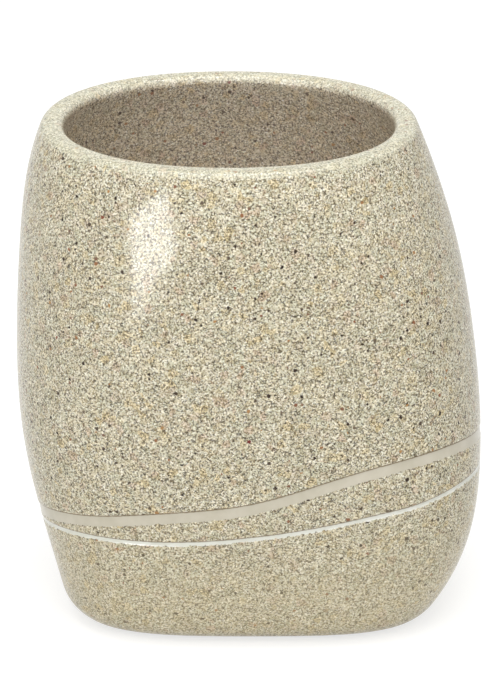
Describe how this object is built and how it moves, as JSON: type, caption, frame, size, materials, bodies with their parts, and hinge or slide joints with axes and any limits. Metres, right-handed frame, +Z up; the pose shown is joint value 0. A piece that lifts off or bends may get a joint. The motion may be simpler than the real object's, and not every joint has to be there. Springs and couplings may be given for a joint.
{
  "type": "bathroom tumbler",
  "caption": "Leaning oval barrel tumbler cast in lacquered sand resin, with a wide cream and a narrow white inlaid stripe and a foam foot pad.",
  "frame": {"origin": "middle of the box on the surface that the tumbler stands on", "axes": "+Z up out of the mouth, -Y towards the viewer of the front, +X to that viewer's right"},
  "size_m": [0.0931, 0.0778, 0.1],
  "materials": {
    "sand_resin": "cast sand-filled resin under glossy clear lacquer",
    "cream_resin": "smooth poured cream resin, lacquered",
    "white_resin": "smooth poured white resin, lacquered",
    "foot_foam": "die-cut closed-cell foam, matte"
  },
  "bodies": {
    "root": {"tumbler_body": "sand_resin", "wide_inlay_band": "cream_resin", "narrow_inlay_line": "white_resin", "non_slip_foot_pad": "foot_foam"}
  },
  "joints": []
}
